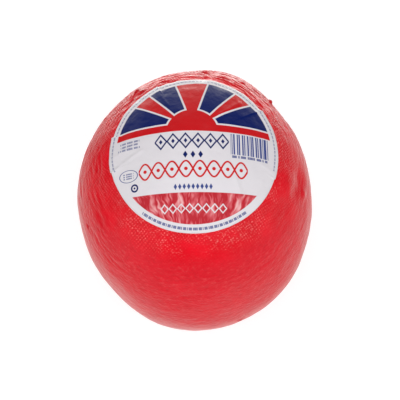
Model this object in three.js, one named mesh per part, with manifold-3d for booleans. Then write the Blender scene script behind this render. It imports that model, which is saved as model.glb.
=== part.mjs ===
// Ball of cheese: a red waxed ball, a little oval in plan, that rests on a small flat and wears a round
// paper label over its crown. Millimetres, +Z up. The origin is on the resting plane, under the middle of
// the ball.
import * as THREE from "three";
import { mergeVertices } from "three/addons/utils/BufferGeometryUtils.js";
import Module from "manifold-3d";

const wasm = await Module();
wasm.setup();

// ---- Driving dimensions -------------------------------------------------------------------------------

const HALF_WIDTH = 70; // middle to side, along X
const HALF_DEPTH = 76; // middle to front or back, along Y, without the swellings below
const HALF_HEIGHT = 70; // girth to crown, along Z, and girth to the pole that the foot cuts off
const SQUARENESS = 2.1; // exponent of every upright section: 2 is an ellipse, and more has fuller shoulders
const BACK_TAPER = 0.18; // share of the width that is lost at the very back
const FOOT_RADIUS = 25; // of the flat that the ball has settled on, across the width

const LABEL_RADIUS = 51; // of the paper disc while it is still flat
const PAPER_THICKNESS = 0.3;
const LABEL_GAP = 0.3; // clearance between the wax and the paper

// Where the young cheese has sagged out of round before its rind set. Azimuth is from +X towards +Y and
// elevation is above the girth, in degrees, out is the most that the skin stands out, and spread is how far
// the swelling reaches round the ball.
const SWELLINGS = [
  { azimuth: 262, elevation: -26, out: 5.4, spread: 24 }, // low at the front
  { azimuth: 318, elevation: -18, out: 5.2, spread: 24 }, // low at the front right
  { azimuth: 54, elevation: 16, out: 2.9, spread: 22 }, // high at the back right
];

// Fineness of the facets.
const ROUND_SEGMENTS = 80;
const UPRIGHT_SEGMENTS = 40;
const LABEL_SEGMENTS = 60;
const LABEL_RINGS = 9;
const WALK_STEP = 0.004; // radians, when paper is laid out along the skin
const NORMAL_STEP = 0.001; // radians either side, when the skin's facing is measured

// ---- The shape of the ball ----------------------------------------------------------------------------

function direction(azimuth, elevation) {
  const level = Math.cos(elevation);
  return new THREE.Vector3(level * Math.cos(azimuth), level * Math.sin(azimuth), Math.sin(elevation));
}

const swellings = SWELLINGS.map(({ azimuth, elevation, out, spread }) => ({
  towards: direction(THREE.MathUtils.degToRad(azimuth), THREE.MathUtils.degToRad(elevation)),
  out,
  spread: THREE.MathUtils.degToRad(spread),
}));

// The point of the skin in a unit direction, measured from the middle of the girth.
function skinPoint(towards) {
  const round = Math.hypot(towards.x, towards.y);
  const reach = (round ** SQUARENESS + Math.abs(towards.z) ** SQUARENESS) ** (-1 / SQUARENESS);
  const point = towards.clone().multiplyScalar(reach);
  const back = Math.max(0, point.y);
  point.x *= 1 - BACK_TAPER * back * back;
  point.multiply(new THREE.Vector3(HALF_WIDTH, HALF_DEPTH, HALF_HEIGHT));
  for (const swelling of swellings) {
    const nearness = Math.exp((towards.dot(swelling.towards) - 1) / swelling.spread ** 2);
    point.addScaledVector(swelling.towards, swelling.out * nearness);
  }
  return point;
}

// A unit direction at an angle down from the crown, on the side of the ball that an azimuth in plan faces.
function downFromCrown(angle, planAzimuth) {
  const side = Math.atan2(Math.sin(planAzimuth) / HALF_DEPTH, Math.cos(planAzimuth) / HALF_WIDTH);
  return direction(side, Math.PI / 2 - angle);
}

// The way that the skin faces in a unit direction, from two short steps along it.
function skinNormal(towards) {
  const level = new THREE.Vector3(0, 1, 0).cross(towards).normalize();
  const rising = towards.clone().cross(level);
  const alongSkin = (way) =>
    skinPoint(towards.clone().addScaledVector(way, NORMAL_STEP).normalize()).sub(
      skinPoint(towards.clone().addScaledVector(way, -NORMAL_STEP).normalize()),
    );
  return alongSkin(level).cross(alongSkin(rising)).normalize();
}

// The angle from the crown at which a tape laid down the skin has run out to a length.
function angleAtLength(length, planAzimuth) {
  let angle = 0;
  let laid = 0;
  let here = skinPoint(downFromCrown(angle, planAzimuth));
  while (laid < length) {
    const next = skinPoint(downFromCrown(angle + WALK_STEP, planAzimuth));
    const step = next.distanceTo(here);
    if (laid + step > length) return angle + (WALK_STEP * (length - laid)) / step;
    laid += step;
    angle += WALK_STEP;
    here = next;
  }
  return angle;
}

// How far under the girth the foot is cut, so that its flat has the foot's radius.
const FOOT_DEPTH = HALF_HEIGHT * (1 - (FOOT_RADIUS / HALF_WIDTH) ** SQUARENESS) ** (1 / SQUARENESS);

// ---- Solids -------------------------------------------------------------------------------------------

// A closed geometry as a solid that can be cut.
function toSolid(geometry) {
  const bare = new THREE.BufferGeometry();
  bare.setAttribute("position", geometry.toNonIndexed().getAttribute("position"));
  const merged = mergeVertices(bare, 1e-3);
  return new wasm.Manifold(
    new wasm.Mesh({
      numProp: 3,
      vertProperties: merged.getAttribute("position").array,
      triVerts: new Uint32Array(merged.index.array),
    }),
  );
}

function toGeometry(solid) {
  const mesh = solid.getMesh();
  const geometry = new THREE.BufferGeometry();
  geometry.setAttribute("position", new THREE.BufferAttribute(mesh.vertProperties, 3));
  geometry.setIndex(new THREE.BufferAttribute(mesh.triVerts, 1));
  geometry.computeVertexNormals();
  return geometry;
}

// Moves every vertex of a geometry to where a function says.
function reshape(geometry, place) {
  const positions = geometry.getAttribute("position");
  const vertex = new THREE.Vector3();
  for (let i = 0; i < positions.count; i++) {
    const moved = place(vertex.fromBufferAttribute(positions, i));
    positions.setXYZ(i, moved.x, moved.y, moved.z);
  }
  return geometry;
}

// A ball of the skin's shape, with everything under the foot cut away.
function makeBall() {
  const sphere = new THREE.SphereGeometry(1, ROUND_SEGMENTS, UPRIGHT_SEGMENTS);
  sphere.rotateX(Math.PI / 2);
  reshape(sphere, (vertex) => skinPoint(vertex.normalize()));
  const reach = 4 * Math.max(HALF_WIDTH, HALF_DEPTH, HALF_HEIGHT);
  const aboveFoot = new THREE.BoxGeometry(reach, reach, reach);
  aboveFoot.translate(0, 0, reach / 2 - FOOT_DEPTH);
  return toGeometry(toSolid(sphere).intersect(toSolid(aboveFoot)));
}

// The flat paper disc, turned from a section that starts and ends on its axis, then laid over the crown.
function makeLabel() {
  const rings = Array.from({ length: LABEL_RINGS }, (_, i) => (LABEL_RADIUS * (i + 1)) / LABEL_RINGS);
  const under = [new THREE.Vector2(0, 0), ...rings.map((r) => new THREE.Vector2(r, 0))];
  const over = under.map(({ x }) => new THREE.Vector2(x, PAPER_THICKNESS)).reverse();
  const disc = new THREE.LatheGeometry([...under, ...over], LABEL_SEGMENTS);
  disc.rotateX(Math.PI / 2);
  return reshape(disc, (vertex) => {
    const planAzimuth = Math.atan2(vertex.y, vertex.x);
    const angle = angleAtLength(Math.hypot(vertex.x, vertex.y), planAzimuth);
    const towards = downFromCrown(angle, planAzimuth);
    return skinPoint(towards).addScaledVector(skinNormal(towards), LABEL_GAP + vertex.z);
  });
}

// ---- The part -----------------------------------------------------------------------------------------

const redWax = new THREE.MeshStandardMaterial({ color: 0xd0141e, roughness: 0.38, metalness: 0 });
const labelPaper = new THREE.MeshStandardMaterial({ color: 0xe9e5ea, roughness: 0.55, metalness: 0 });

const cheeseBall = new THREE.Mesh(makeBall(), redWax);
cheeseBall.name = "cheese_ball";

const paperLabel = new THREE.Mesh(makeLabel(), labelPaper);
paperLabel.name = "paper_label";

const ball = new THREE.Group();
ball.add(cheeseBall, paperLabel);

const box = new THREE.Box3().setFromObject(ball);
const middle = box.getCenter(new THREE.Vector3());
ball.position.set(-middle.x, -middle.y, FOOT_DEPTH);

const part = new THREE.Group();
part.add(ball);

export default part;
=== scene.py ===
# %% [markdown]
# # A ball of cheese in red wax
#
# A young cheese is pressed in a round mould, wrapped in cheesecloth, and dipped in red wax. What is left to
# see is a glossy red ball, a little out of round, with the print of the cloth in its skin, and a round paper
# label laid over its crown. This lesson builds both around a fixed frame that is loaded first. Nothing in the
# frame is moved. The frame says how large each piece is, and the script adds the fine surface.

# %% Load the frame
import math

import bmesh
import bpy
import numpy as np
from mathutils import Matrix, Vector


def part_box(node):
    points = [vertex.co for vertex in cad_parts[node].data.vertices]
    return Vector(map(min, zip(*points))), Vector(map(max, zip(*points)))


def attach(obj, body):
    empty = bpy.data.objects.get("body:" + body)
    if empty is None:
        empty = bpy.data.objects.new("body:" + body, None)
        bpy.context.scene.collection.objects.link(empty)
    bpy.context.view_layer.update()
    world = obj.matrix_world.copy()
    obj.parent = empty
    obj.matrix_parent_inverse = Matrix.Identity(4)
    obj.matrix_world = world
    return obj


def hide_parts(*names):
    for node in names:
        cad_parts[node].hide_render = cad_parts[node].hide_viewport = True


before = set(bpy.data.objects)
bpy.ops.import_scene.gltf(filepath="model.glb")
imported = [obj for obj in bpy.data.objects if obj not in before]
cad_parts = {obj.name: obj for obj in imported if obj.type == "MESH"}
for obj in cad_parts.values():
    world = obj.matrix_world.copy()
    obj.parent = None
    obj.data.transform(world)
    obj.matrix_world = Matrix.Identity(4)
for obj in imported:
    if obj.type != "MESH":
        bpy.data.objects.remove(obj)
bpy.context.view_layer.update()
ball_low, ball_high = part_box("cheese_ball")
label_low, label_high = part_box("paper_label")
print("ball", [round(s * 1000, 1) for s in ball_high - ball_low], "mm")
print("label", [round(s * 1000, 1) for s in label_high - label_low], "mm")

# %% [markdown]
# ## Sizes
#
# Lengths on the ball and its label are in millimetres, as a cheese maker would measure them, and MM turns
# them into metres. Places that a tree reads off an object are in metres already, and so is the studio. A
# direction is an azimuth in plan, from the right side towards the back, and an elevation above the girth.

# %% Driving sizes
MM = 0.001
SEED = 7

HALF_WIDTH = 70.0
HALF_DEPTH = 76.0
HALF_HEIGHT = 70.0
SQUARENESS = 2.1
BACK_TAPER = 0.18
FOOT_RADIUS = 25.0
SWELLINGS = [  # azimuth, elevation, how far out, how wide in degrees
    (262, -26, 5.4, 24),
    (318, -18, 5.2, 24),
    (54, 16, 2.9, 22),
]

LABEL_RADIUS = 51.0
PAPER_THICKNESS = 0.18
print("ball", 2 * HALF_WIDTH, "by", 2 * HALF_DEPTH, "mm before it sagged")

# %% [markdown]
# ## The rule of the skin
#
# The ball is a squashed sphere whose upright sections are a shade squarer than an ellipse. It narrows towards
# the back, and the soft young cheese has sagged outwards in three places. A rule like this is better than a
# sculpted lump, because the label can ask the same rule where the wax is.

# %% Where the skin is in a direction
def direction(azimuth, elevation):
    """Unit vectors for angles in radians."""
    level = np.cos(elevation)
    return np.stack([level * np.cos(azimuth), level * np.sin(azimuth), np.sin(elevation)], axis=-1)


def skin(towards):
    """Points of the skin in unit directions, in millimetres from the middle of the girth."""
    level = np.hypot(towards[..., 0], towards[..., 1])
    reach = (level**SQUARENESS + np.abs(towards[..., 2]) ** SQUARENESS) ** (-1 / SQUARENESS)
    point = towards * reach[..., None]
    point[..., 0] *= 1 - BACK_TAPER * np.maximum(0, point[..., 1]) ** 2
    point *= (HALF_WIDTH, HALF_DEPTH, HALF_HEIGHT)
    for azimuth, elevation, out, spread in np.radians(SWELLINGS):
        centre = direction(azimuth, elevation)
        nearness = np.exp((towards @ centre - 1) / spread**2)
        point += np.degrees(out) * nearness[..., None] * centre
    return point


def facing(towards, step=1e-3):
    """The way the skin faces in unit directions, from two short steps along it."""
    level = np.cross((0.0, 1.0, 0.0), towards)
    level /= np.linalg.norm(level, axis=-1, keepdims=True)
    rising = np.cross(towards, level)
    steps = []
    for way in (level, rising):
        ends = [towards + way * step, towards - way * step]
        ahead, behind = [skin(end / np.linalg.norm(end, axis=-1, keepdims=True)) for end in ends]
        steps.append(ahead - behind)
    normal = np.cross(*steps)
    return normal / np.linalg.norm(normal, axis=-1, keepdims=True)


FOOT_DEPTH = HALF_HEIGHT * (1 - (FOOT_RADIUS / HALF_WIDTH) ** SQUARENESS) ** (1 / SQUARENESS)
azimuths, elevations = np.meshgrid(np.radians(np.arange(0, 360, 1.0)), np.radians(np.arange(-60, 91, 1.0)))
rule_box = skin(direction(azimuths, elevations)).reshape(-1, 3)
rule_middle = (rule_box.min(axis=0) + rule_box.max(axis=0)) / 2
rule_size = np.array([*np.ptp(rule_box, axis=0)[:2], HALF_HEIGHT + FOOT_DEPTH])
to_frame = np.array(ball_high - ball_low) / rule_size
print("one millimetre of the rule is", np.round(to_frame / MM, 4), "mm of the frame")


def settle(points):
    """Points of the rule as metres in the frame, with the foot on the resting plane."""
    moved = (points - (rule_middle[0], rule_middle[1], -FOOT_DEPTH)) * to_frame
    return moved + ((ball_low.x + ball_high.x) / 2, (ball_low.y + ball_high.y) / 2, ball_low.z)


# %% [markdown]
# ## A bench for node trees
#
# Materials and Geometry Nodes are both trees of small nodes. Linking them one at a time is slow to read, so a
# Wire wraps the socket that a value comes out of, and sums written with wires add their Math nodes. A Bench
# makes any other node from its type, its settings and what goes into its sockets.

# %% Wires and benches
class Wire:
    """A value in a node tree that sums, products and powers can be written with."""

    def __init__(self, bench, socket):
        self.bench = bench
        self.socket = socket

    def __add__(self, other):
        return self.bench.math("ADD", self, other)

    def __radd__(self, other):
        return self.bench.math("ADD", other, self)

    def __sub__(self, other):
        return self.bench.math("SUBTRACT", self, other)

    def __rsub__(self, other):
        return self.bench.math("SUBTRACT", other, self)

    def __mul__(self, other):
        return self.bench.math("MULTIPLY", self, other)

    def __rmul__(self, other):
        return self.bench.math("MULTIPLY", other, self)

    def __truediv__(self, other):
        return self.bench.math("DIVIDE", self, other)

    def __rtruediv__(self, other):
        return self.bench.math("DIVIDE", other, self)

    def __pow__(self, other):
        return self.bench.math("POWER", self, other)

    def __mod__(self, other):
        return self.bench.math("FLOORED_MODULO", self, other)

    def __neg__(self):
        return self.bench.math("MULTIPLY", self, -1.0)

    def __abs__(self):
        return self.bench.math("ABSOLUTE", self)


class Bench:
    """Makes nodes in one tree."""

    def __init__(self, tree):
        self.tree = tree

    def node(self, kind, settings=None, inputs=None, out=0):
        """A node with its settings first, then its sockets, by name or number, and a wire from one output."""
        made = self.tree.nodes.new(kind)
        for name, value in (settings or {}).items():
            if name == "stops":
                self.set_stops(made.color_ramp, value)
            else:
                setattr(made, name, value)
        for name, value in (inputs or {}).items():
            self.feed(made.inputs[name], value)
        return Wire(self, made.outputs[out])

    def feed(self, socket, value):
        if isinstance(value, Wire):
            self.tree.links.new(value.socket, socket)
        else:
            socket.default_value = value

    @staticmethod
    def set_stops(ramp, stops):
        while len(ramp.elements) < len(stops):
            ramp.elements.new(0.5)
        for element, (position, colour) in zip(ramp.elements, stops):
            element.position = position
            element.color = colour

    def math(self, operation, *values):
        return self.node("ShaderNodeMath", {"operation": operation}, dict(enumerate(values)))

    def vector(self, operation, *values, out=0):
        return self.node("ShaderNodeVectorMath", {"operation": operation}, dict(enumerate(values)), out)

    def length(self, vector):
        return self.vector("LENGTH", vector, out="Value")

    def scaled(self, vector, factor):
        return self.node("ShaderNodeVectorMath", {"operation": "SCALE"}, {0: vector, "Scale": factor})

    def combine(self, x, y, z=0.0):
        return self.node("ShaderNodeCombineXYZ", inputs={0: x, 1: y, 2: z})

    def split(self, vector):
        first = self.node("ShaderNodeSeparateXYZ", inputs={0: vector})
        return [Wire(self, output) for output in first.socket.node.outputs]

    def larger(self, most, *others):
        for other in others:
            most = self.math("MAXIMUM", most, other)
        return most

    def rise(self, value, low, high):
        """0 at low, 1 at high, and a smooth step between. Low may be the larger of the two."""
        settings = {"interpolation_type": "SMOOTHSTEP"}
        return self.node("ShaderNodeMapRange", settings, {0: value, 1: low, 2: high, 3: 0.0, 4: 1.0})

    def noise(self, vector, scale, detail=2.0, roughness=0.5, out=0):
        """Noise with features about 1 / scale apart, from 0 to 1."""
        inputs = {"Vector": vector, "Scale": scale, "Detail": detail, "Roughness": roughness}
        return self.node("ShaderNodeTexNoise", {"noise_dimensions": "3D"}, inputs, out)

    def blend(self, factor, first, second):
        """A colour from first, where factor is 0, to second, where it is 1."""
        return self.node("ShaderNodeMix", {"data_type": "RGBA"}, {0: factor, 6: first, 7: second}, 2)


def colour(code):
    """A screen colour, written as six hexadecimal digits, as the linear colour that a shader mixes."""
    channels = [int(code[i : i + 2], 16) / 255 for i in (0, 2, 4)]
    return (*[c / 12.92 if c <= 0.04045 else ((c + 0.055) / 1.055) ** 2.4 for c in channels], 1.0)


def new_material(name, shown, **constants):
    """A material with one Principled BSDF whose constants are set on its own sockets."""
    material = bpy.data.materials.new(name)
    material.use_nodes = True
    material.diffuse_color = shown
    bench = Bench(material.node_tree)
    shader = next(n for n in material.node_tree.nodes if n.type == "BSDF_PRINCIPLED")
    for socket, value in constants.items():
        shader.inputs[socket.replace("_", " ")].default_value = value
    return material, bench, shader


print("middle grey on a screen is", round(colour("808080")[0], 3), "as light")

# %% [markdown]
# ## The wax
#
# Cheese wax is a soft, strongly coloured dip. It is a dielectric, so its gloss is colourless: straight on it
# looks pure red, and at a glancing angle it turns pink with the light of the room. A little sheen stands for
# the fine bloom on handled wax, and whitens the outline further. Under the gloss lies the print of the
# cheesecloth. Its threads are finer than the mesh could hold, so they are a bump, laid out on a flat map of
# the cloth with its middle at the crown.

# %% The cloth print as a height
CLOTH_PITCH = 1.55
CLOTH_TURN = math.radians(38)
CLOTH_DRIFTS = ((16.0, 5.0), (3.2, 0.9))  # spacing and reach of the threads' wander


def cloth_height(bench, map_name):
    """Height of the cloth print, from 0 in a thread's groove to 1 between threads."""
    flat = bench.node("ShaderNodeUVMap", {"uv_map": map_name})
    for spacing, reach in CLOTH_DRIFTS:
        drift = bench.noise(flat, 1 / spacing, 1.0, out="Color")
        drift = bench.vector("MULTIPLY_ADD", drift, (reach, reach, 0.0), (-reach / 2, -reach / 2, 0.0))
        flat = bench.vector("ADD", flat, drift)
    u, v, _ = bench.split(flat)
    along = (u * math.cos(CLOTH_TURN) + v * math.sin(CLOTH_TURN)) * (math.pi / CLOTH_PITCH)
    across = (v * math.cos(CLOTH_TURN) - u * math.sin(CLOTH_TURN)) * (math.pi / CLOTH_PITCH)
    pillow = abs(bench.math("SINE", along)) * abs(bench.math("SINE", across))
    return pillow**0.6


print("cloth print:", CLOTH_PITCH, "mm from thread to thread")

# %% Colours and places of the wax
WAX_RED = colour("e6041a")
WAX_DEEP = colour("de031a")
WAX_PALE = colour("ea0620")
WAX_LOWER = colour("cc0a24")
WAX_PAINTED_SHADE = colour("b80414")
WAX_SPOT_SHADE = colour("9c0410")
WAX_PAINTED_HIGHLIGHT = colour("ffc4bc")

wax, bench, shader = new_material(
    "red_wax", WAX_RED, IOR=1.45, Specular_IOR_Level=0.32, Sheen_Weight=0.45, Sheen_Roughness=0.3
)
place = bench.node("ShaderNodeTexCoord", out="Object")
x, y, z = bench.split(place)
side = bench.math("ARCTAN2", y, x)
cloth_place = bench.node("ShaderNodeUVMap", {"uv_map": "cloth"})
from_crown = bench.length(cloth_place)
under = bench.node("ShaderNodeAttribute", {"attribute_name": "under"}, out="Fac")
print("wax sheen:", round(shader.inputs["Sheen Weight"].default_value, 2))

# %% [markdown]
# The print is clearest on the shoulders, where the cloth was pulled tight, and it comes and goes in patches.
# Lower down it fades, sooner in front than at the back. One flat map of a ball is always badly stretched
# somewhere, so the print is read from two maps, and "under" says how far the second has taken over. A pair of
# places, as in FRONT, says where something starts to rise and where it is full.

# %% Where the print shows
PRINT_END = 96.0
FRONT_ENDS_SOONER = 26.0
PRINT_FULL = 58.0
FRONT = (-0.015, -0.05)
PATCH_SIZE = 0.022

print_patch = bench.rise(bench.noise(place, 1 / PATCH_SIZE, 2.0), 0.28, 0.62)
print_end = PRINT_END - FRONT_ENDS_SOONER * bench.rise(y, *FRONT)
shoulder = bench.rise(from_crown, print_end, PRINT_FULL)
cloth = cloth_height(bench, "cloth") * (1 - under) + cloth_height(bench, "cloth_under") * under
cloth_depth = 0.04 + 0.15 * shoulder * print_patch
print("print fades", PRINT_END, "mm down at the back,", PRINT_END - FRONT_ENDS_SOONER, "mm in front")

# %% [markdown]
# At the back of the shoulders the cloth was gathered, and it left soft ridges that run round the ball. Noise
# that is drawn out along rings round the crown gives them. The rings drift, so no ridge is a true circle.

# %% Gathers at the back
def on_rings(bench, side, down, times, drift):
    """Places for noise drawn out round the ball: the more times, the shorter its ridges."""
    rings = bench.combine(bench.math("COSINE", side) * times, bench.math("SINE", side) * times, down)
    return bench.vector("ADD", rings, bench.combine(drift, drift, drift))


GATHER_SPACING = 2.1
GATHER_BACK = (0.006, 0.036)
GATHER_FROM = (50.0, 55.0)
GATHER_TO = (118.0, 88.0)

ring_drift = bench.noise(place, 1 / 0.010, 1.0) * 1.6
gathers = bench.noise(on_rings(bench, side, from_crown / GATHER_SPACING, 9.0, ring_drift), 1.0, 1.0)
gather_zone = bench.rise(y, *GATHER_BACK) * bench.rise(from_crown, *GATHER_FROM)
gather_zone = gather_zone * bench.rise(from_crown, *GATHER_TO)
# The tops of the gathers later get a painted highlight and their hollows get painted shade.
gather_top = bench.rise(gathers, 0.50, 0.66) * gather_zone
gather_low = bench.rise(gathers, 0.47, 0.32) * gather_zone
print("gathers:", GATHER_SPACING, "mm apart")

# %% [markdown]
# On the left shoulder the cloth was dragged aslant as it came off. The drags are noise once more, long one
# way on the flat map of the cloth and narrow the other. They give way to the gathers at the back.

# %% Drags on the left
DRAG_TURN = math.radians(28)
DRAG_LENGTH = 9.0
DRAG_WIDTH = 1.3
DRAG_LEFT = (-0.020, -0.046)
DRAG_BACK = (-0.035, 0.0)
DRAG_FROM = (54.0, 68.0)
DRAG_TO = (112.0, 88.0)

u, v, _ = bench.split(cloth_place)
along_drag = u * math.cos(DRAG_TURN) + v * math.sin(DRAG_TURN)
across_drag = v * math.cos(DRAG_TURN) - u * math.sin(DRAG_TURN)
drags = bench.noise(bench.combine(along_drag / DRAG_LENGTH, across_drag / DRAG_WIDTH), 1.0, 1.0)
drag_zone = bench.rise(x, *DRAG_LEFT) * bench.rise(y, *DRAG_BACK)
drag_zone = drag_zone * bench.rise(from_crown, *DRAG_FROM) * bench.rise(from_crown, *DRAG_TO)
drag_zone = drag_zone * (1 - gather_zone)
# The tops of the drags later get a painted highlight and their hollows get painted shade.
drag_top = bench.rise(drags, 0.52, 0.68) * drag_zone
drag_low = bench.rise(drags, 0.48, 0.34) * drag_zone
print("drags:", DRAG_LENGTH, "by", DRAG_WIDTH, "mm")

# %% [markdown]
# Close to the label's edge, in front and to the right, short bright marks are painted into the wax's colour
# as glints. They use the same rings as the gathers, far finer, and come and go in patches.

# %% Painted glints by the label
GLINT_SPACING = 0.62
GLINT_FRONT = (0.008, -0.014)
GLINT_TO = (64.0, 54.0)
GLINT_PATCH_SIZE = 0.012

glint_rings = on_rings(bench, side, from_crown / GLINT_SPACING, 34.0, ring_drift)
glint_marks = bench.rise(bench.noise(glint_rings, 1.0, 1.0), 0.50, 0.68)
glint_zone = bench.rise(y - x * 0.5, *GLINT_FRONT) * bench.rise(from_crown, *GLINT_TO)
glint_zone = glint_zone * bench.rise(bench.noise(place, 1 / GLINT_PATCH_SIZE, 1.0), 0.34, 0.60)
print("scuffs:", GLINT_SPACING, "mm apart")

# %% [markdown]
# Where the print ends, the wax has short level wrinkles, as a skin has that set while it sank. Noise squeezed
# upright gives them. Everything too fine for the mesh is then added up in millimetres and becomes one bump.

# %% Height of the fine skin
WRINKLE_SIZE = 0.0027
GRAIN_SIZE = 0.0008
GATHER_HEIGHT = 1.1
DRAG_HEIGHT = 0.3
GRAIN_HEIGHT = 0.012

wrinkles = bench.noise(bench.combine(x, y, z * 1.9), 1 / WRINKLE_SIZE, 3.0, 0.55)
wrinkle_depth = 0.36 - 0.24 * shoulder
grain = bench.noise(place, 1 / GRAIN_SIZE, 1.0)
height = cloth * cloth_depth + wrinkles * wrinkle_depth + grain * GRAIN_HEIGHT
height = height + gathers * gather_zone * GATHER_HEIGHT + drags * drag_zone * DRAG_HEIGHT
bump = bench.node("ShaderNodeBump", inputs={"Strength": 1.0, "Distance": MM, "Height": height})
bench.feed(shader.inputs["Normal"], bump)
print("fine skin: gathers up to", GATHER_HEIGHT, "mm and grain up to", GRAIN_HEIGHT, "mm")

# %% [markdown]
# One flat red would look like plastic. The wax is mottled between two reds and is duller low down. Grooves
# and valleys get painted shade, tops get a pale painted highlight that is stronger in random patches, and
# small drips and knocks get the darkest painted shade.

# %% Where painted highlights and painted shade go
MOTTLE_SIZE = 0.014
HIGHLIGHT_PATCH_SIZE = 0.0028

mottle = bench.noise(place, 1 / MOTTLE_SIZE, 3.0, 0.6)
# Random patches where the painted highlight on the thread tops is stronger.
highlight_patches = bench.rise(bench.noise(place, 1 / HIGHLIGHT_PATCH_SIZE, 2.0, 0.6), 0.42, 0.68)
# Painted shade in the grooves of the cloth print.
thread_groove = bench.rise(cloth, 0.60, 0.10) * shoulder * print_patch
# Painted highlight on the tops of the cloth's threads.
thread_top = bench.rise(cloth, 0.74, 0.98) * (1 - drag_zone * 0.85) * (1 - gather_zone)
thread_top = thread_top * shoulder * print_patch
# Painted glints: short bright marks in the wax close to the label.
painted_glints = glint_marks * glint_zone * (0.08 + 0.20 * bench.rise(cloth, 0.4, 0.9))
# Painted highlight on the wrinkle ridges and painted shade in their valleys.
wrinkle_ridge = bench.rise(wrinkles, 0.52, 0.72) * (1 - shoulder)
wrinkle_valley = bench.rise(wrinkles, 0.50, 0.32) * (1 - shoulder)
# Small drips and knocks get a dark painted shade.
spot = bench.node("ShaderNodeAttribute", {"attribute_name": "spot"}, out="Fac")
print("wax tree so far:", len(wax.node_tree.nodes), "nodes")

# %% [markdown]
# Each layer below covers what lies under it by a share, from the first to the last. The gloss is a little
# rougher where the mottle is pale, and on the lower part.

# %% Layers of colour
# Most layers below are painted light: the pale ones are painted highlights and glints, and the dull and dark
# ones in hollows and on small spots are painted shade.
layers = [
    (thread_groove * 0.40, WAX_PAINTED_SHADE),
    (thread_top * (0.02 + 0.20 * highlight_patches), WAX_PAINTED_HIGHLIGHT),
    (painted_glints, WAX_PAINTED_HIGHLIGHT),
    (drag_low * 0.45, WAX_PAINTED_SHADE),
    (drag_top * 0.06, WAX_PAINTED_HIGHLIGHT),
    (gather_low * 0.40, WAX_PAINTED_SHADE),
    (gather_top * 0.12, WAX_PAINTED_HIGHLIGHT),
    ((1 - shoulder) * 0.45, WAX_LOWER),
    (wrinkle_ridge * 0.04, WAX_PAINTED_HIGHLIGHT),
    (wrinkle_valley * 0.26, WAX_PAINTED_SHADE),
    (spot * 0.6, WAX_SPOT_SHADE),
]
body = bench.blend(bench.rise(mottle, 0.35, 0.75), WAX_DEEP, WAX_PALE)
for share, layer in layers:
    body = bench.blend(share, body, layer)
bench.feed(shader.inputs["Base Color"], body)
bench.feed(shader.inputs["Roughness"], 0.25 + 0.14 * mottle + 0.15 * (1 - shoulder))
print("wax material:", len(wax.node_tree.nodes), "nodes,", len(layers), "layers")

# %% [markdown]
# ## The ball
#
# A sphere made of rings has pinched poles, and the label sits right on one of them. A cube cut into a fine
# grid and blown up to a ball has none: its small squares are nearly the same size all over. Each corner of
# the grid is one direction, the rule says where the skin is, and the bottom is eased onto the resting plane.
# Drips of wax and knocks from handling are added one by one, each in its own row, so that each can be moved.
# The first two rows are broad flats where the ball lay on its side, and small drips and knocks get a dark
# painted shade.

# %% Drips and knocks
SPOTS = [  # azimuth, elevation, half width, height: a drip stands out, and a knock is below 0
    (94, 25, 19.0, -2.3),
    (33, 26, 17.0, -1.1),
    (130, 41, 2.0, 1.8),
    (128, 44, 1.4, 0.8),
    (40, 31, 1.6, 2.0),
    (44, 33, 1.2, 0.7),
    (57, 38, 1.3, 0.9),
    (83, 38, 3.2, 1.1),
    (100, 22, 1.8, 0.9),
    (204, 19, 1.3, -0.9),
    (354, 31, 6.0, -1.3),
    (346, 33, 4.0, -0.9),
    (350, 25, 2.6, 0.9),
    (338, 38, 4.5, -0.4),
    (26, 2, 2.2, 0.9),
    (150, -8, 1.5, 0.8),
    (292, -12, 1.6, 0.6),
]
SMALL_SPOT = 2.3


def spots_at(towards):
    """How far drips and knocks move the skin, in millimetres, and how much dark painted shade a small one
    puts there, 0 to 1.
    """
    moved = np.zeros(len(towards))
    painted_shade = np.zeros(len(towards))
    for azimuth, elevation, half_width, height in SPOTS:
        centre = direction(math.radians(azimuth), math.radians(elevation))
        apart = np.arccos(np.clip(towards @ centre, -1, 1)) * HALF_WIDTH
        profile = np.exp(-((apart / half_width) ** 2))
        moved += height * profile
        if half_width < SMALL_SPOT:
            painted_shade = np.maximum(painted_shade, profile)
    return moved, painted_shade


print("drips and knocks:", len(SPOTS))

# %% Blow up a cube
GRID_CUTS = 127
FOOT_EASE = 1.2

grid = bmesh.new()
bmesh.ops.create_cube(grid, size=2)
bmesh.ops.subdivide_edges(grid, edges=grid.edges[:], cuts=GRID_CUTS, use_grid_fill=True)
ball_mesh = bpy.data.meshes.new("waxed_ball")
grid.to_mesh(ball_mesh)
grid.free()

corners = np.empty(len(ball_mesh.vertices) * 3)
ball_mesh.vertices.foreach_get("co", corners)
towards = np.tan(corners.reshape(-1, 3) * math.pi / 4)
towards /= np.linalg.norm(towards, axis=1, keepdims=True)
spot_heights, spot_painted_shade = spots_at(towards)
rim = skin(towards) + towards * spot_heights[:, None]
above_foot = rim[:, 2] + FOOT_DEPTH
eased = (above_foot + np.hypot(above_foot, FOOT_EASE)) / 2
rim[:, 2] = eased - eased.min() - FOOT_DEPTH
ball_mesh.vertices.foreach_set("co", settle(rim).ravel())
ball_mesh.shade_smooth()
print("ball grid:", len(ball_mesh.polygons), "squares")

# %% [markdown]
# The cloth's flat map is like a map of the world seen from the pole: the distance from the middle is the
# distance down from the crown. The second map has its middle under the foot. Two more values go with each
# corner: "under", for where the second map takes over, and one for where a small drip or knock gets a dark
# painted shade.

# %% The two maps of the cloth
GIRTH_ARC = 71.0


def polar_map(directions, pole):
    """Flat places in millimetres around one pole, 1 for the crown and -1 for the foot."""
    down = np.arccos(np.clip(directions[:, 2] * pole, -1, 1))
    side = np.arctan2(directions[:, 1], directions[:, 0])
    return np.stack([np.cos(side), np.sin(side)], axis=1) * (down * GIRTH_ARC)[:, None]


def ease(values, low, high):
    t = np.clip((values - low) / (high - low), 0, 1)
    return t * t * (3 - 2 * t)


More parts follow.
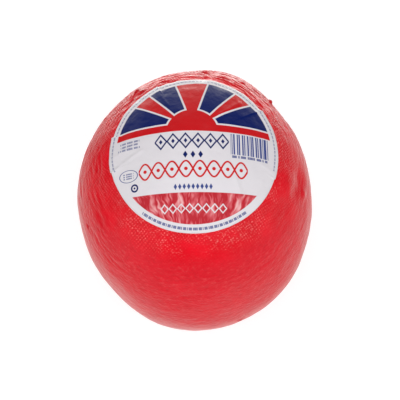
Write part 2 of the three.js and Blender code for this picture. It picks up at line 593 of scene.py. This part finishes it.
def lay_map(mesh, name, places):
    """Gives a mesh a UV map, from a flat place for each of its corners."""
    corner_of_loop = np.empty(len(mesh.loops), int)
    mesh.loops.foreach_get("vertex_index", corner_of_loop)
    mesh.uv_layers.new(name=name).data.foreach_set("uv", places[corner_of_loop].ravel())


def carry(mesh, name, values, kind="FLOAT", field="value"):
    """Gives each corner of a mesh a value of its own under a name."""
    mesh.attributes.new(name, kind, "POINT").data.foreach_set(field, values.ravel())


lay_map(ball_mesh, "cloth", polar_map(towards, 1))
lay_map(ball_mesh, "cloth_under", polar_map(towards, -1))
carry(ball_mesh, "under", ease(-towards[:, 2], math.sin(math.radians(12)), math.sin(math.radians(28))))
# Each corner carries how much dark painted shade a small drip or knock puts there.
carry(ball_mesh, "spot", spot_painted_shade)
print("cloth maps:", [layer.name for layer in ball_mesh.uv_layers])

# %% [markdown]
# ## Relief
#
# No hand-dipped ball is as even as its rule. The cheese has shallow lumps, the gathered cloth has left soft
# folds, and the wax has wrinkled. Geometry Nodes raise them along the skin's own normal. The inputs have
# names and a fixed seed, so another ball is only another seed.

# %% Helpers for geometry trees
def geometry_tree(name, sockets):
    """A geometry tree, its bench, and a wire for each named input."""
    tree = bpy.data.node_groups.new(name, "GeometryNodeTree")
    tree.interface.new_socket("Geometry", in_out="INPUT", socket_type="NodeSocketGeometry")
    tree.interface.new_socket("Geometry", in_out="OUTPUT", socket_type="NodeSocketGeometry")
    for socket_name, kind in sockets.items():
        tree.interface.new_socket(socket_name, in_out="INPUT", socket_type="NodeSocket" + kind)
    bench = Bench(tree)
    entry = tree.nodes.new("NodeGroupInput")
    wires = {output.name: Wire(bench, output) for output in entry.outputs if output.name}
    return tree, bench, wires


def close_tree(bench, geometry, material):
    """Ends a tree in plain mesh with its material."""
    real = bench.node("GeometryNodeRealizeInstances", inputs={"Geometry": geometry})
    painted = bench.node("GeometryNodeSetMaterial", inputs={"Geometry": real, "Material": material})
    out = bench.tree.nodes.new("NodeGroupOutput")
    bench.feed(out.inputs["Geometry"], painted)


def run_tree(piece, tree, values):
    """Runs a tree on a piece and keeps the result as its plain mesh."""
    modifier = piece.modifiers.new(tree.name, "NODES")
    modifier.node_group = tree
    for item in tree.interface.items_tree:
        if item.item_type == "SOCKET" and item.in_out == "INPUT" and item.name in values:
            modifier[item.identifier] = values[item.name]
    bpy.context.view_layer.update()
    depsgraph = bpy.context.evaluated_depsgraph_get()
    evaluated = piece.evaluated_get(depsgraph)
    result = bpy.data.meshes.new_from_object(evaluated, preserve_all_data_layers=True, depsgraph=depsgraph)
    piece.modifiers.remove(modifier)
    raw = piece.data
    piece.data = result
    bpy.data.meshes.remove(raw)
    result.name = piece.name
    return result


def new_piece(name, data):
    """A new object in the scene, from a mesh, a light or a camera."""
    piece = bpy.data.objects.new(name, data)
    bpy.context.collection.objects.link(piece)
    return piece


# %% Lumps all over
relief_sockets = {"Middle": "Vector", "Seed": "Float", "Wax": "Material"}
for kind in ("Lump", "Fold", "Wrinkle"):
    relief_sockets[kind + " Height"] = "Float"
    relief_sockets[kind + " Spacing"] = "Float"
relief, bench, wire = geometry_tree("Wax relief", relief_sockets)
place = bench.node("GeometryNodeInputPosition")
normal = bench.node("GeometryNodeInputNormal")
seeded = bench.vector("ADD", place, bench.combine(wire["Seed"], wire["Seed"], wire["Seed"]))
lumps = bench.noise(seeded, 1 / wire["Lump Spacing"], 1.5, 0.45) - 0.5
print("relief inputs:", list(wire))

# %% [markdown]
# Folds are long round the ball and narrow down it, so they are read on rings round the crown, as the gathers
# in the wax are. They start where the label ends, are highest at the back, and fade towards the front.

# %% Folds round the crown
FOLD_FROM = (0.044, 0.056)
FOLD_TO = (0.112, 0.085)
FOLD_BACK = (0.0, 0.045)
FOLD_LEFT = (-0.035, -0.055)

from_middle = bench.vector("SUBTRACT", place, wire["Middle"])
x, y, z = bench.split(from_middle)
down = bench.math("ARCCOSINE", z / bench.length(from_middle)) * (GIRTH_ARC * MM)
side = bench.math("ARCTAN2", y, x)
drift = bench.noise(seeded, 60.0, 1.0) * 1.6
rings = on_rings(bench, side, down / wire["Fold Spacing"], 4.0, drift)
folds = 1 - abs(bench.noise(rings, 1.0, 1.0, 0.4) - 0.5) * 6.0
gathered = bench.rise(down, *FOLD_FROM) * bench.rise(down, *FOLD_TO)
back = 0.22 + 0.78 * bench.larger(bench.rise(y, *FOLD_BACK), bench.rise(x, *FOLD_LEFT) * 0.35)
print("relief tree:", len(relief.nodes), "nodes with the folds")

# %% [markdown]
# Wrinkles are short and level, and take over where the folds end. All three heights are added, eased to
# nothing at the floor so that the ball still stands flat, and run along the skin's normal.

# %% Wrinkles, and the sum of the relief
WRINKLE_FROM = (0.070, 0.100)
OFF_FLOOR = (0.0, 0.012)

level_place = bench.vector("MULTIPLY", seeded, (0.5, 0.5, 1.0))
wrinkles = bench.noise(level_place, 1 / wire["Wrinkle Spacing"], 1.0, 0.5) - 0.5
lower_part = 0.25 + 0.75 * bench.rise(down, *WRINKLE_FROM)

_, _, above_floor = bench.split(place)
off_floor = bench.rise(above_floor, *OFF_FLOOR)
height = lumps * wire["Lump Height"] + folds * gathered * back * wire["Fold Height"]
height = (height + wrinkles * lower_part * wire["Wrinkle Height"]) * off_floor
offset = bench.scaled(normal, height)
moved = bench.node("GeometryNodeSetPosition", inputs={"Geometry": wire["Geometry"], "Offset": offset})
close_tree(bench, moved, wire["Wax"])
print("relief tree:", len(relief.nodes), "nodes in all")

# %% Raise the relief
waxed_ball = new_piece("waxed_ball", ball_mesh)
run_tree(
    waxed_ball,
    relief,
    {
        "Middle": settle(np.zeros((1, 3)))[0],
        "Lump Height": 2.2 * MM,
        "Lump Spacing": 34 * MM,
        "Fold Height": 0.65 * MM,
        "Fold Spacing": 3.2 * MM,
        "Wrinkle Height": 0.40 * MM,
        "Wrinkle Spacing": 4.4 * MM,
        "Seed": float(SEED),
        "Wax": wax,
    },
)
print("waxed ball:", len(waxed_ball.data.polygons), "faces,", waxed_ball.data.materials[0].name)

# %% [markdown]
# ## The print on the label
#
# The label is a printed paper disc. Its print is drawn by sums on the flat disc's own places, in millimetres
# from its middle, so it bends with the paper and stays sharp at any distance. Each shape is a distance that
# is negative inside it. The design is a plain ornament of this lesson's own: a fan of blue panels on red, a
# white field with lozenges and a plait where a maker's words would be, bars, and a band of red silk below.

# %% Shapes by distance
EDGE = 0.10  # half the width over which an ink's edge fades


class Print:
    """Lays inks over one another on a flat sheet."""

    def __init__(self, bench, paper):
        self.bench = bench
        self.ink = paper

    def inside(self, distance):
        return self.bench.rise(distance, EDGE, -EDGE)

    def lay(self, distance, ink, strength=1.0):
        self.ink = self.bench.blend(self.inside(distance) * strength, self.ink, ink)


def box_distance(bench, across, up, half_width, half_height):
    return bench.larger(abs(across) - half_width, abs(up) - half_height)


def repeat(bench, across, pitch, count):
    """A place within its repeat, and how far outside the whole row it is."""
    within = (across + pitch * count / 2) % pitch - pitch / 2
    return within, abs(across) - pitch * count / 2


def lozenge_distance(across, up, half_width, half_height):
    size = half_width * half_height / math.hypot(half_width, half_height)
    return (abs(across) / half_width + abs(up) / half_height - 1) * size


print("edges of ink fade over", 2 * EDGE, "mm")

# %% Label sheet, colours and places
PAPER = colour("e0dce1")
PRINT_RED = colour("cc121a")
PRINT_BLUE = colour("041a60")
LINE_BLUE = colour("3a4a8c")
GREY_INK = colour("6f749c")
SILK_DEEP = colour("be1a2a")
SILK_MIDDLE = colour("d4545e")
SILK_PALE = colour("eeb4b4")
BORDER_INSIDE = 46.0

label_paper, bench, shader = new_material("label_paper", PAPER, IOR=1.46, Specular_IOR_Level=0.35)
flat = bench.node("ShaderNodeUVMap", {"uv_map": "print"})
p, q, _ = bench.split(flat)
radius = bench.length(flat)
sheet = Print(bench, PAPER)
print("white border:", LABEL_RADIUS - BORDER_INSIDE, "mm wide")

# %% [markdown]
# The upper part is red, with four blue panels that open like a fan. A panel is what lies between two rays,
# outside the hub and inside the border. Its thin white outline is the same shape grown by the line's width.

# %% The fan
FAN_FOOT = 7.4
FAN_HUB = 15.5
FAN_BASE = 12.9
OUTLINE = 1.1
PANELS = [(3, 33), (50, 74), (106, 130), (147, 177)]

hub_side = p + 0.7
hub_up = q - FAN_FOOT
from_hub = bench.length(bench.combine(hub_side, hub_up))
field = bench.larger(radius - BORDER_INSIDE, FAN_FOOT - q)
sheet.lay(field, PRINT_RED)
for first, last in PANELS:
    low, high = math.radians(first), math.radians(last)
    over_low = hub_side * math.sin(low) - hub_up * math.cos(low)
    under_high = hub_up * math.cos(high) - hub_side * math.sin(high)
    panel = bench.larger(over_low, under_high, FAN_HUB - from_hub, FAN_BASE - q)
    panel = bench.larger(panel, radius - BORDER_INSIDE)
    white = bench.larger(panel - OUTLINE, radius - BORDER_INSIDE)
    sheet.lay(white, PAPER)
    sheet.lay(panel, PRINT_BLUE)
print("fan:", len(PANELS), "panels")

# %% [markdown]
# The white field holds rows of ornament where a real label has its words: lozenges in blue line, a red plait
# of two crossing waves, and two rows of small lozenges. A repeated mark is drawn once, on a place that starts
# again with every step of the row.

# %% Rows of lozenges
LINE = 0.42  # half the width of a drawn line


def lozenge_row(across, up, pitch, count, half_size, ink, line=0.0):
    """Lays a row of lozenges, full or drawn with a line, about the row's own middle."""
    within, ends = repeat(bench, across, pitch, count)
    shape = lozenge_distance(within, up, *half_size)
    sheet.lay(bench.larger(abs(shape) - line if line else shape, ends), ink)


lozenge_row(p + 1.0, q - 1.4, 6.9, 6, (3.3, 4.3), PRINT_BLUE, LINE)
lozenge_row(p + 1.0, q - 1.4, 6.9, 6, (1.0, 1.5), PRINT_BLUE)
lozenge_row(p + 0.5, q + 6.9, 4.2, 3, (1.3, 2.1), PRINT_BLUE)
lozenge_row(p + 0.6, q + 25.2, 2.45, 9, (0.95, 1.7), LINE_BLUE)
print("lozenges: 6 in line, 3 and 9 small")

# %% The plait
PLAIT_PITCH = 15.4
PLAIT_HALF = 4.5

turn = (p + 0.6) * (2 * math.pi / PLAIT_PITCH)
steep = 2 * math.pi / PLAIT_PITCH * PLAIT_HALF
slope = ((bench.math("COSINE", turn) * steep) ** 2 + 1) ** 0.5
wave = bench.math("SINE", turn) * PLAIT_HALF
plait_up = q + 15.2
plait_end = abs(p + 0.6) - PLAIT_PITCH * 2
for strand in (plait_up - wave, plait_up + wave):
    sheet.lay(bench.larger(abs(strand) / slope - 0.5, plait_end), PRINT_RED)
within, ends = repeat(bench, p + 0.6, PLAIT_PITCH / 2, 8)
bead = bench.length(bench.combine(within, plait_up))
sheet.lay(bench.larger(bead - 1.0, ends), PRINT_RED)
print("plait:", 4 * PLAIT_PITCH, "mm long")

# %% [markdown]
# To the right are plain bars, to the left three lines of dashes, a small oval and a ring. A few waves added
# together give bars and dashes of uneven width that say nothing.

# %% Bars
bar_waves = bench.math("SINE", p * 2.3)
for rate, start in ((3.9, 1.0), (6.1, 2.0)):
    bar_waves = bar_waves + bench.math("SINE", p * rate + start)
bars = bench.larger(-0.35 * bar_waves - 0.14, box_distance(bench, p - 32.1, q - 0.3, 11.5, 6.4))
sheet.lay(bars, LINE_BLUE)
print("label tree so far:", len(label_paper.node_tree.nodes), "nodes")


# %% Dashes, oval and ring

def greeking(bench, along, across, half_length, half_height, rate):
    """Dashes of uneven length along a line, as small print looks from afar."""
    waves = bench.math("SINE", along * rate) + bench.math("SINE", along * rate * 0.37 + 1.0)
    return bench.larger(-0.3 * (waves + 0.7), box_distance(bench, along, across, half_length, half_height))


sheet.lay(greeking(bench, p - 32.1, q + 7.4, 10.8, 0.75, 3.4), GREY_INK)
for up, half_length in ((4.9, 6.4), (2.8, 5.6), (0.7, 7.2)):
    sheet.lay(greeking(bench, p + 37.2, q - up, half_length, 0.62, 4.2), GREY_INK, 0.8)

oval = (bench.length(bench.combine((p + 38.1) / 5.9, (q + 16.0) / 3.55)) - 1) * 4.2
sheet.lay(abs(oval) - 0.2, LINE_BLUE)
for up in (1.3, 0.0, -1.3):
    sheet.lay(greeking(bench, p + 38.1, q + 16.0 - up, 3.4, 0.36, 4.0), LINE_BLUE, 0.8)
ring = bench.length(bench.combine(p + 34.4, q + 23.5))
sheet.lay(bench.math("MINIMUM", abs(ring - 1.9) - 0.5, ring - 0.6), PRINT_BLUE)
print("label tree so far:", len(label_paper.node_tree.nodes), "nodes")

# %% [markdown]
# The lowest part shows red silk in soft upright folds, with a row of white lozenges over it. The silk is
# noise drawn out along lines that spread from a point below the label, and a ramp turns its middle into deep
# folds and both its ends into pale ones. Last come the dashes that run round the white border.

# %% Silk
SILK_TOP = -28.4

spread = p / (q + 105.0) * 70.0
sway = bench.noise(flat, 0.09, 2.0) * 8.0
silk_place = bench.combine((spread + sway) * 0.15, q * 0.036, 3.0)
silk = bench.noise(silk_place, 1.0, 3.0, 0.66)
stops = [
    (0.34, SILK_PALE),
    (0.42, SILK_MIDDLE),
    (0.47, SILK_DEEP),
    (0.52, SILK_DEEP),
    (0.58, SILK_MIDDLE),
    (0.67, SILK_PALE),
]
folded = bench.node("ShaderNodeValToRGB", {"stops": stops}, {"Fac": silk})
silk_field = bench.larger(radius - BORDER_INSIDE, q - SILK_TOP)
sheet.lay(silk_field, folded)
lozenge_row(p + 0.4, q + 37.1, 4.7, 8, (2.1, 2.4), PAPER, 0.3)
print("silk:", len(stops), "tones")

# %% Border dashes
BORDER_LINE = 48.5

below = bench.math("ARCTAN2", p, -q) * BORDER_LINE
sheet.lay(greeking(bench, below, radius - BORDER_LINE, 32.5, 0.8, 5.6), GREY_INK)
above = bench.math("ARCTAN2", p, q) * BORDER_LINE
sheet.lay(greeking(bench, above, radius - BORDER_LINE, 88.0, 0.5, 7.0), GREY_INK, 0.7)
print("border dashes at", BORDER_LINE, "mm from the middle")

# %% [markdown]
# The sheet is coated paper, so it has a mild satin gloss. Ink lies thinner here and there, and the paper has
# a fine tooth and soft crinkles from being smoothed over a curve it was not cut for.

# %% Paper surface
WEAR_SIZE = 0.011
CRINKLE_SIZE = 0.0045
TOOTH_SIZE = 0.0006

place = bench.node("ShaderNodeTexCoord", out="Object")
worn = bench.rise(bench.noise(place, 1 / WEAR_SIZE, 3.0, 0.6), 0.45, 0.95)
bench.feed(shader.inputs["Base Color"], bench.blend(worn * 0.025, sheet.ink, PAPER))
bench.feed(shader.inputs["Roughness"], 0.34 + 0.16 * worn)
crinkle = bench.noise(place, 1 / CRINKLE_SIZE, 2.0, 0.5) * 0.40
crinkle = crinkle + bench.noise(place, 1 / TOOTH_SIZE, 1.0) * 0.02
bump = bench.node("ShaderNodeBump", inputs={"Strength": 1.0, "Distance": MM, "Height": crinkle})
bench.feed(shader.inputs["Normal"], bump)
print("label material:", len(label_paper.node_tree.nodes), "nodes")

# %% [markdown]
# ## The label
#
# A flat disc can't lie on a ball without spare paper at its rim. The spare paper goes into a few tucks, where
# it folds over itself: the rim steps, the print jumps, and the sheet stands a little proud. The disc is built
# as rings and spokes, with more spokes at each tuck, and each of its places is walked down the skin by the
# length that it has on the flat sheet.

# %% Tucks and creases
LABEL_RINGS = 60
LABEL_SPOKES = 300
PRINT_TURN = math.radians(0.8)
TUCKS = [  # azimuth, how far in it starts, height, jump of the print, step of the rim
    (35, 27, 0.80, 2.2, -1.7),
    (117, 37, 0.55, 1.2, 0.5),
    (166, 41, 0.45, 0.7, 1.1),
    (193, 33, 0.50, 0.8, -1.1),
    (342, 42, 0.45, 0.6, 0.4),
]
CREASES = [  # from x, y to x, y on the flat sheet, and height
    (-49, -12, -27, -1, 0.60),
    (-50, -3, -30, 3, 0.40),
    (12, 17, 30, 33, 0.50),
    (-24, 42, -13, 24, 0.45),
    (30, -36, 22, -16, 0.50),
    (36, -8, 50, -13, 0.45),
    (-12, -48, -8, -33, 0.40),
]
print("tucks:", len(TUCKS), "creases:", len(CREASES))

# %% Rings and spokes
spokes = np.linspace(0, 2 * math.pi, LABEL_SPOKES, endpoint=False)
for azimuth, *_ in TUCKS:
    spokes = np.append(spokes, np.radians(azimuth + np.array([-0.8, -0.45, -0.2, 0.2, 0.45, 0.8])))
spokes = np.unique(np.round(spokes % (2 * math.pi), 5))
rings = LABEL_RADIUS * np.linspace(0, 1, LABEL_RINGS + 1)[1:]
spoke, ring = np.meshgrid(spokes, rings)
print("sheet:", len(spokes), "spokes,", len(rings), "rings")

# %% [markdown]
# At a tuck the sheet rises gently on one side and drops sharply on the other, the print jumps, and the rim
# steps in or out. A crease is a fine straight ridge that fades at both ends.

# %% Raise the tucks
TUCK_SLOPE = 3.5
TUCK_DROP = 0.35
JUMP_REACH = 9
STEP_REACH = 11
STEP_FROM = 40

proud = np.zeros_like(ring)
jump = np.zeros_like(ring)
rim_step = np.zeros_like(ring)
for azimuth, inner, height, shift, step in TUCKS:
    away = (spoke - math.radians(azimuth) + math.pi) % (2 * math.pi) - math.pi
    away_mm = away * ring
    grown = ease(ring, inner, LABEL_RADIUS)
    side = np.where(away_mm > 0, 1, -1)
    fall = np.where(away_mm > 0, TUCK_SLOPE, TUCK_DROP)
    proud += height * grown * np.exp(-np.abs(away_mm) / fall)
    jump += side * shift / 2 * grown * np.exp(-np.abs(away_mm) / JUMP_REACH)
    rim_step += side * step / 2 * ease(ring, STEP_FROM, LABEL_RADIUS) * np.exp(-np.abs(away_mm) / STEP_REACH)
print("highest tuck:", round(float(proud.max()), 2), "mm")

# %% Raise the creases
CREASE_HALF_WIDTH = 0.8
CREASE_FADE = 4

flat_x, flat_y = ring * np.cos(spoke), ring * np.sin(spoke)
for x0, y0, x1, y1, height in CREASES:
    long = math.hypot(x1 - x0, y1 - y0)
    forward = ((flat_x - x0) * (x1 - x0) + (flat_y - y0) * (y1 - y0)) / long
    beside = ((flat_y - y0) * (x1 - x0) - (flat_x - x0) * (y1 - y0)) / long
    ends = ease(forward, 0, CREASE_FADE) * ease(long - forward, 0, CREASE_FADE)
    proud += height * np.exp(-np.abs(beside) / CREASE_HALF_WIDTH) * ends
print("highest fold:", round(float(proud.max()), 2), "mm")


# %% Walk the disc down the skin
def walk(azimuth, lengths, steps=400, furthest=1.1):
    """Directions in which a tape laid down the skin on one side has run out to each length."""
    side = math.atan2(math.sin(azimuth) / HALF_DEPTH, math.cos(azimuth) / HALF_WIDTH)
    down = np.linspace(0, furthest, steps)
    path = skin(direction(np.full(steps, side), math.pi / 2 - down))
    laid = np.append(0, np.cumsum(np.linalg.norm(np.diff(path, axis=0), axis=1)))
    reached = np.interp(lengths, laid, down)
    return direction(np.full(len(reached), side), math.pi / 2 - reached)


label_towards = np.stack([walk(a, ring[:, i] + rim_step[:, i]) for i, a in enumerate(spokes)], axis=1)
label_towards = np.concatenate([[[0.0, 0.0, 1.0]], label_towards.reshape(-1, 3)])
label_skin = settle(skin(label_towards))
label_out = facing(label_towards)
label_lift = np.append(0, proud.ravel())

print_angle = spoke + jump / ring - PRINT_TURN
print_x = np.append(0, (ring * np.cos(print_angle)).ravel())
print_y = np.append(0, (ring * np.sin(print_angle)).ravel())
print("rim lies", round(math.degrees(math.acos(label_towards[-1, 2])), 1), "degrees down from the crown")


# %% Sew the sheet
def disc_faces(spoke_count, ring_count):
    """Faces of a disc whose first corner is the middle and whose rings follow, turned upwards."""
    faces = [(0, 1 + i, 1 + (i + 1) % spoke_count) for i in range(spoke_count)]
    for r in range(ring_count - 1):
        inner, outer = 1 + r * spoke_count, 1 + (r + 1) * spoke_count
        for i in range(spoke_count):
            j = (i + 1) % spoke_count
            faces.append((inner + i, outer + i, outer + j, inner + j))
    return faces


spoke_count = len(spokes)
corner_count = len(label_towards)
upper = disc_faces(spoke_count, LABEL_RINGS)
lower = [tuple(corner_count + c for c in reversed(face)) for face in upper]
rim_start = 1 + (LABEL_RINGS - 1) * spoke_count
edge = []
for i in range(spoke_count):
    a, b = rim_start + i, rim_start + (i + 1) % spoke_count
    edge.append((a, a + corner_count, b + corner_count, b))

label_mesh = bpy.data.meshes.new("paper_label")
label_mesh.from_pydata(np.concatenate([label_skin, label_skin]), [], upper + lower + edge)
label_mesh.shade_smooth()
print("label sheet:", len(label_mesh.polygons), "faces")

# %% What each corner of the sheet carries
print_place = np.tile(np.stack([print_x, print_y], axis=1), (2, 1))
lay_map(label_mesh, "print", print_place)
carry(label_mesh, "lift", MM * np.concatenate([label_lift + PAPER_THICKNESS, label_lift]))
carry(label_mesh, "out", np.tile(label_out, (2, 1)), "FLOAT_VECTOR", "vector")
print("sheet carries:", print_place.shape[0], "places, lifts and ways out")

# %% [markdown]
# The finished ball has lumps that the rule doesn't know about. A small tree drops every corner of the sheet
# onto the real wax with a ray, along the way the skin faces there, and lifts it by its own height, with a
# soft crinkle that grows towards the rim.

# %% Drop the sheet on the wax
RAY_START = 0.006
RAY_LENGTH = 0.02

laying_sockets = {
    "Ball": "Object",
    "Glue": "Float",
    "Crinkle Height": "Float",
    "Crinkle Spacing": "Float",
    "Seed": "Float",
    "Paper": "Material",
}
laying, bench, wire = geometry_tree("Lay label on wax", laying_sockets)
ball_geometry = bench.node(
    "GeometryNodeObjectInfo", {"transform_space": "ORIGINAL"}, {"Object": wire["Ball"]}, "Geometry"
)
place = bench.node("GeometryNodeInputPosition")
outward = bench.node("GeometryNodeInputNamedAttribute", {"data_type": "FLOAT_VECTOR"}, {"Name": "out"})
height = bench.node("GeometryNodeInputNamedAttribute", {"data_type": "FLOAT"}, {"Name": "lift"})
start = bench.vector("MULTIPLY_ADD", outward, (RAY_START,) * 3, place)
ray = {
    "Target Geometry": ball_geometry,
    "Source Position": start,
    "Ray Direction": bench.vector("MULTIPLY", outward, (-1.0, -1.0, -1.0)),
    "Ray Length": RAY_LENGTH,
}
hit = bench.node("GeometryNodeRaycast", inputs=ray, out="Hit Position")
print("rays start", RAY_START / MM, "mm out and reach", RAY_LENGTH / MM, "mm")

# %% Lift it by its own height
RIM = (0.020, 0.045)

x, y, _ = bench.split(place)
from_crown = bench.length(bench.combine(x, y))
near_rim = 0.25 + 0.75 * bench.rise(from_crown, *RIM)
seeded = bench.vector("ADD", place, bench.combine(wire["Seed"], 0.0, wire["Seed"]))
crinkle = bench.noise(seeded, 1 / wire["Crinkle Spacing"], 2.0, 0.5)
stand = height + wire["Glue"] + crinkle * near_rim * wire["Crinkle Height"]
lifted = bench.vector("ADD", hit, bench.scaled(outward, stand))
laid = bench.node("GeometryNodeSetPosition", inputs={"Geometry": wire["Geometry"], "Position": lifted})
close_tree(bench, laid, wire["Paper"])
print("laying tree:", len(laying.nodes), "nodes")

# %% Lay the label
paper_label = new_piece("paper_label_print", label_mesh)
run_tree(
    paper_label,
    laying,
    {
        "Ball": waxed_ball,
        "Glue": 0.04 * MM,
        "Crinkle Height": 0.5 * MM,
        "Crinkle Spacing": 9 * MM,
        "Seed": float(SEED),
        "Paper": label_paper,
    },
)
print("label laid:", len(paper_label.data.polygons), "faces")

# %% [markdown]
# ## The studio
#
# The ball stands on a plain white floor that sweeps up into a round backdrop, under large soft lamps. A
# glossy skin shows what stands around it, so the big lamps are kept out of its reflections, as a polarising
# filter would keep them out. The wax mirrors a quiet room instead, and two small strips at the sides.

# %% Profile of the floor and backdrop
FLOOR_RADIUS = 1.6
SWEEP_RADIUS = 0.8
BACKDROP_HEIGHT = 4.0
BACKDROP_SIDES = 96
FLOOR_TOP = -0.0001  # a hair under the foot, so that the two never share a plane

profile = [(FLOOR_RADIUS, FLOOR_TOP)]
for turn in np.linspace(0, math.pi / 2, 13)[1:]:
    out_by, up_by = SWEEP_RADIUS * math.sin(turn), SWEEP_RADIUS * (1 - math.cos(turn))
    profile.append((FLOOR_RADIUS + out_by, FLOOR_TOP + up_by))
profile.append((FLOOR_RADIUS + SWEEP_RADIUS, BACKDROP_HEIGHT))
print("backdrop:", 2 * profile[-1][0], "m across")

# %% Turn the profile round
sweep_points = [(0.0, 0.0, FLOOR_TOP)]
for radius_out, up in profile:
    for turn in np.linspace(0, 2 * math.pi, BACKDROP_SIDES, endpoint=False):
        sweep_points.append((radius_out * math.cos(turn), radius_out * math.sin(turn), up))
sweep_mesh = bpy.data.meshes.new("studio_floor")
sweep_mesh.from_pydata(sweep_points, [], disc_faces(BACKDROP_SIDES, len(profile)))
sweep_mesh.shade_smooth()
floor = new_piece("studio_floor", sweep_mesh)
print("backdrop:", len(sweep_mesh.polygons), "faces")

# %% [markdown]
# The floor glows a little, and the lamps give it the rest of its light. It isn't mirrored in the wax, throws
# no light back on it and casts no shadow.

# %% White floor
white_floor, bench, shader = new_material(
    "studio_white", (1, 1, 1, 1), Roughness=0.9, Specular_IOR_Level=0.0, Emission_Strength=0.74
)
shader.inputs["Base Color"].default_value = (0.40, 0.40, 0.40, 1.0)
shader.inputs["Emission Color"].default_value = (1.0, 1.0, 1.0, 1.0)
sweep_mesh.materials.append(white_floor)
floor.visible_glossy = False
floor.visible_diffuse = False
floor.visible_shadow = False
print("floor is staged")


# %% Lamps
def softbox(name, azimuth, elevation, width, height, power, mirrored=False, distance=1.6):
    """An area light that faces the ball from an azimuth and elevation in degrees."""
    light = bpy.data.lights.new(name, "AREA")
    light.shape = "RECTANGLE"
    light.size = width
    light.size_y = height
    light.energy = power
    lamp = new_piece(name, light)
    towards_lamp = Vector(direction(math.radians(azimuth), math.radians(elevation)))
    lamp.location = Vector((0, 0, ball_high.z / 2)) + towards_lamp * distance
    lamp.rotation_euler = towards_lamp.to_track_quat("Z", "Y").to_euler()
    lamp.visible_glossy = mirrored


softbox("overhead_softbox", 235, 70, 1.4, 1.4, 10)
softbox("key_softbox", 300, 50, 1.4, 1.4, 11.5)
softbox("right_softbox", 5, 30, 1.4, 0.9, 3.5)
softbox("left_softbox", 180, 38, 1.4, 0.9, 5.5)
softbox("back_softbox", 90, 50, 1.4, 0.9, 2.5)
softbox("left_strip", 213, 18, 0.45, 0.5, 3.5, mirrored=True)
softbox("right_strip", -20, 19, 0.45, 0.5, 3.5, mirrored=True)
print("lamps:", len(bpy.data.lights))

# %% [markdown]
# The room is a colour for each direction. It is white below and a little brighter at the sides, bright behind
# the ball low down, and dark everywhere else. That leaves the wax its pure red where it faces the camera, and
# turns it pink towards its outline. The light is slightly warm.

# %% Room
DARK_ROOM = 0.04
WARMTH = (1.0, 0.97, 0.93)
BELOW = (-0.12, -0.65)
BEHIND = (0.60, 0.98)
LOW = (0.0, -0.3)

world = bpy.data.worlds.new("studio_room")
bpy.context.scene.world = world
world.use_nodes = True
bench = Bench(world.node_tree)
across, depth, height = bench.split(bench.node("ShaderNodeTexCoord", out="Generated"))
white_sheet = (0.90 + 0.45 * abs(across)) * bench.rise(height + 0.45 * depth, *BELOW)
back_wall = bench.rise(depth, *BEHIND) * (0.5 + 5.5 * bench.rise(height, *LOW))
room_light = DARK_ROOM + bench.larger(white_sheet, back_wall)
background = next(n for n in world.node_tree.nodes if n.type == "BACKGROUND")
room_colour = bench.combine(*[room_light * share for share in WARMTH])
bench.feed(background.inputs["Color"], room_colour)
background.inputs["Strength"].default_value = 1.0
print("room:", len(world.node_tree.nodes), "nodes")

# %% [markdown]
# ## The camera
#
# The camera looks down on the crown from the front, steeply enough to show the whole label and still see the
# ball's front. It stands ten half widths away, and a long lens keeps the ball's outline round. The lens
# follows from the share of the picture that the ball's width takes, and a small shift frames it.

# %% Camera
VIEW_ELEVATION = math.radians(65.5)
VIEW_DISTANCE = 10 * HALF_WIDTH
BALL_SHARE = 0.5785
SHIFT_RIGHT = 0.015875
SHIFT_DOWN = 0.0111

camera_data = bpy.data.cameras.new("camera")
camera_data.sensor_width = 36.0
camera_data.lens = BALL_SHARE * camera_data.sensor_width * VIEW_DISTANCE / (2 * HALF_WIDTH)
camera_data.shift_x = SHIFT_RIGHT
camera_data.shift_y = -SHIFT_DOWN
camera = new_piece("camera", camera_data)
girth_middle = Vector(settle(np.zeros((1, 3)))[0])
view_from = Vector((0, -math.cos(VIEW_ELEVATION), math.sin(VIEW_ELEVATION)))
camera.location = girth_middle + view_from * VIEW_DISTANCE * MM
camera.rotation_euler = (math.pi / 2 - VIEW_ELEVATION, 0, 0)
bpy.context.scene.camera = camera
bpy.context.scene.view_settings.view_transform = "Standard"
print("lens", round(camera_data.lens, 1), "mm")

# %% [markdown]
# ## Hand over
#
# Each piece rides on the root body, and the solid of the frame that it stands for is hidden.

# %% Pieces
for piece, node, slot_name in (
    (waxed_ball, "cheese_ball", "red_wax"),
    (paper_label, "paper_label", "label_paper"),
):
    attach(piece, "root")
    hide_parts(node)
